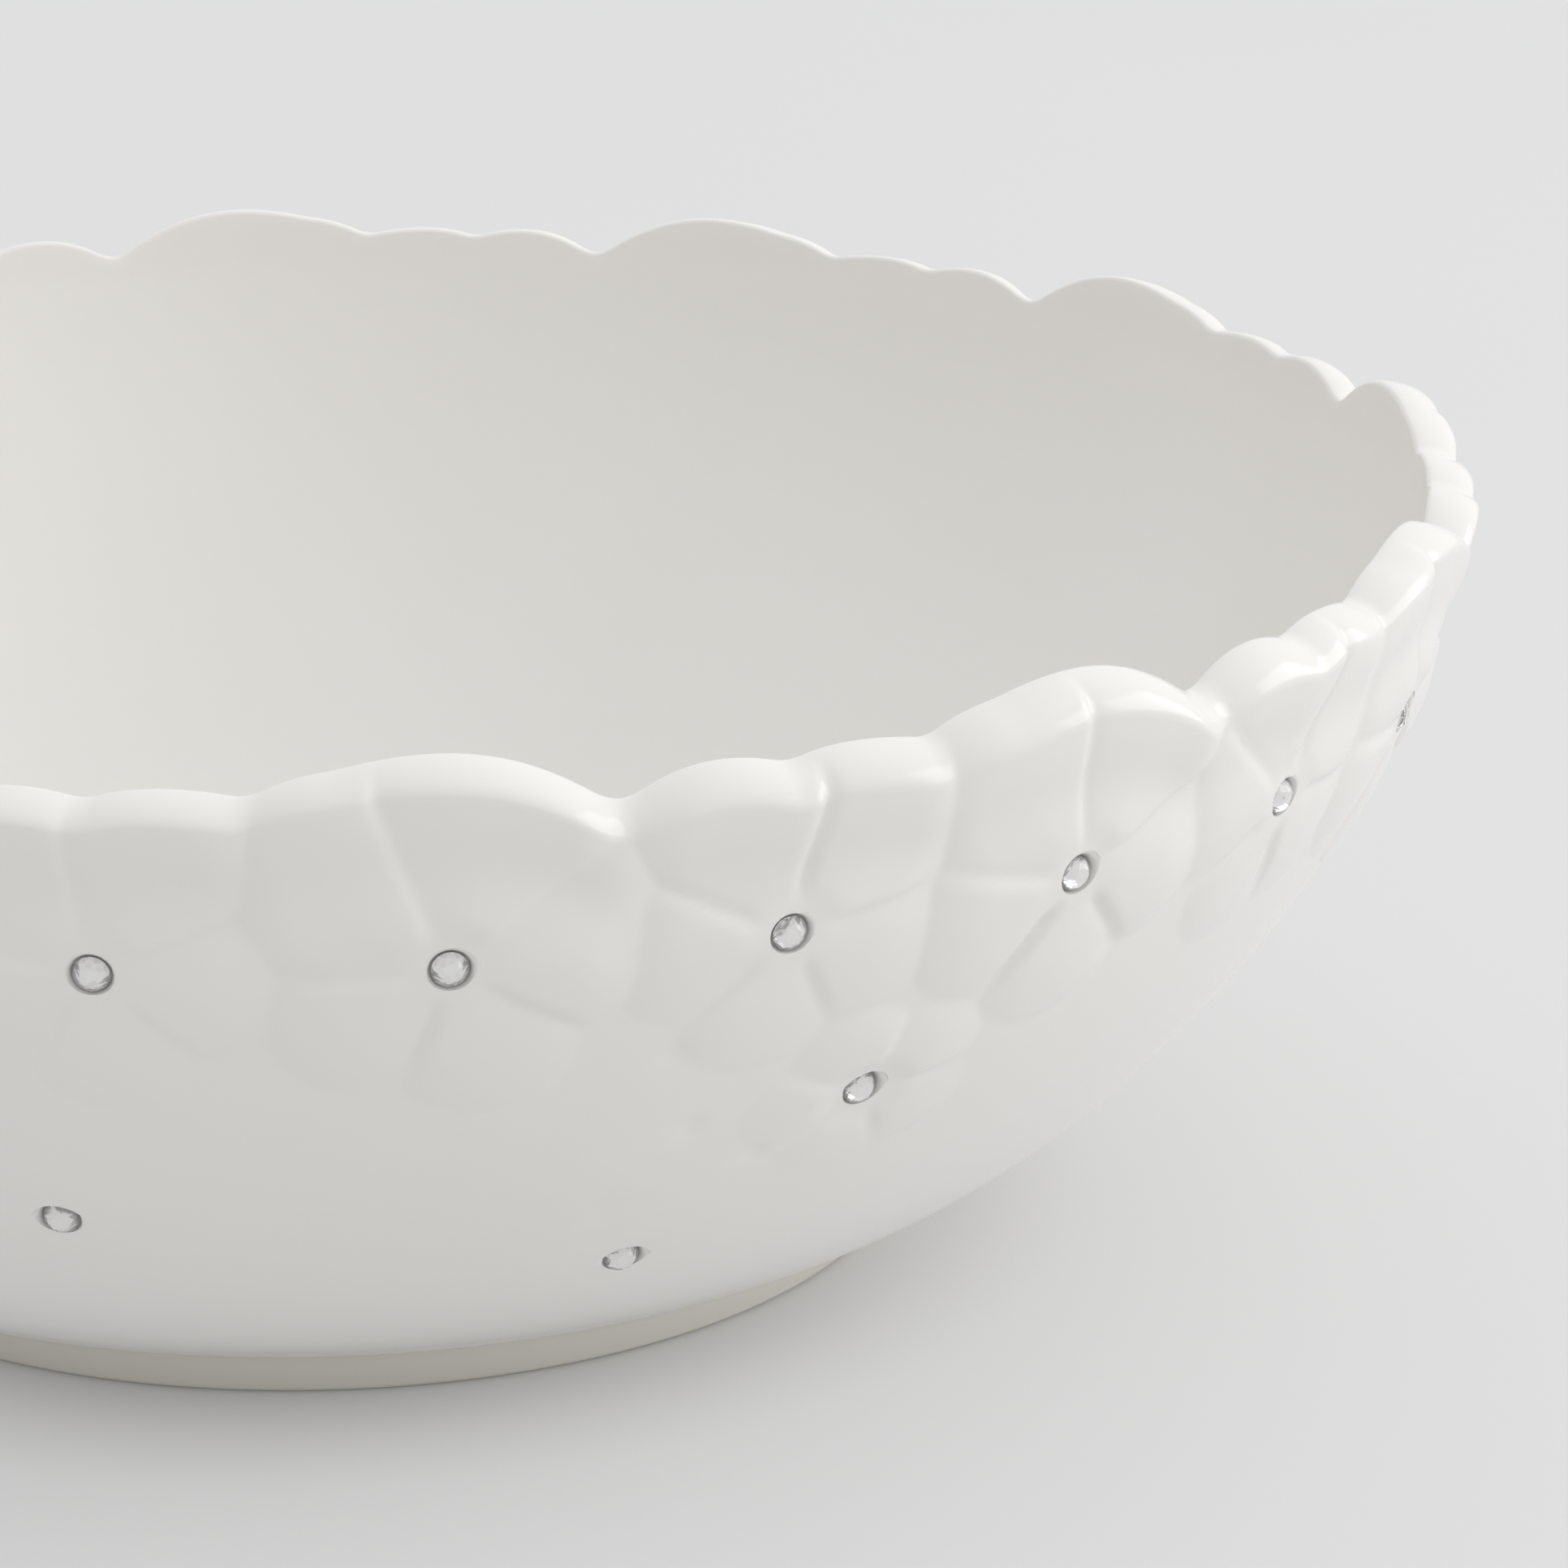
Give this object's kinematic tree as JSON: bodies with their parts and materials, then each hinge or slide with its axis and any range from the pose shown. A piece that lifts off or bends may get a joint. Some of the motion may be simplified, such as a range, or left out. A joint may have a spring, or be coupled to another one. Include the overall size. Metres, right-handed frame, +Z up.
{
  "type": "decorative bowl",
  "caption": "Round glazed ceramic bowl with a band of moulded flowers that makes its scalloped rim, and small round crystals set in its wall, for display or for holding small things.",
  "frame": {"origin": "centre of the foot, on the surface that the bowl stands on", "axes": "+Z up along the bowl's axis; the picture looks along +Y"},
  "size_m": [0.2316, 0.2316, 0.0793],
  "materials": {
    "glaze": "warm white glossy glaze",
    "crystal": "clear faceted glass on a bright back"
  },
  "bodies": {
    "root": {"bowl_body": "glaze", "rim_crystal_01": "crystal", "rim_crystal_02": "crystal", "rim_crystal_03": "crystal", "rim_crystal_04": "crystal", "rim_crystal_05": "crystal", "rim_crystal_06": "crystal", "rim_crystal_07": "crystal", "rim_crystal_08": "crystal", "rim_crystal_09": "crystal", "rim_crystal_10": "crystal", "rim_crystal_11": "crystal", "rim_crystal_12": "crystal", "rim_crystal_13": "crystal", "rim_crystal_14": "crystal", "rim_crystal_15": "crystal", "rim_crystal_16": "crystal", "rim_crystal_17": "crystal", "rim_crystal_18": "crystal", "rim_crystal_19": "crystal", "rim_crystal_20": "crystal", "rim_crystal_21": "crystal", "rim_crystal_22": "crystal", "rim_crystal_23": "crystal", "rim_crystal_24": "crystal", "wall_crystal_01": "crystal", "wall_crystal_02": "crystal", "wall_crystal_03": "crystal", "wall_crystal_04": "crystal", "wall_crystal_05": "crystal", "wall_crystal_06": "crystal", "wall_crystal_07": "crystal", "wall_crystal_08": "crystal", "wall_crystal_09": "crystal", "wall_crystal_10": "crystal", "wall_crystal_11": "crystal", "wall_crystal_12": "crystal"}
  },
  "joints": []
}
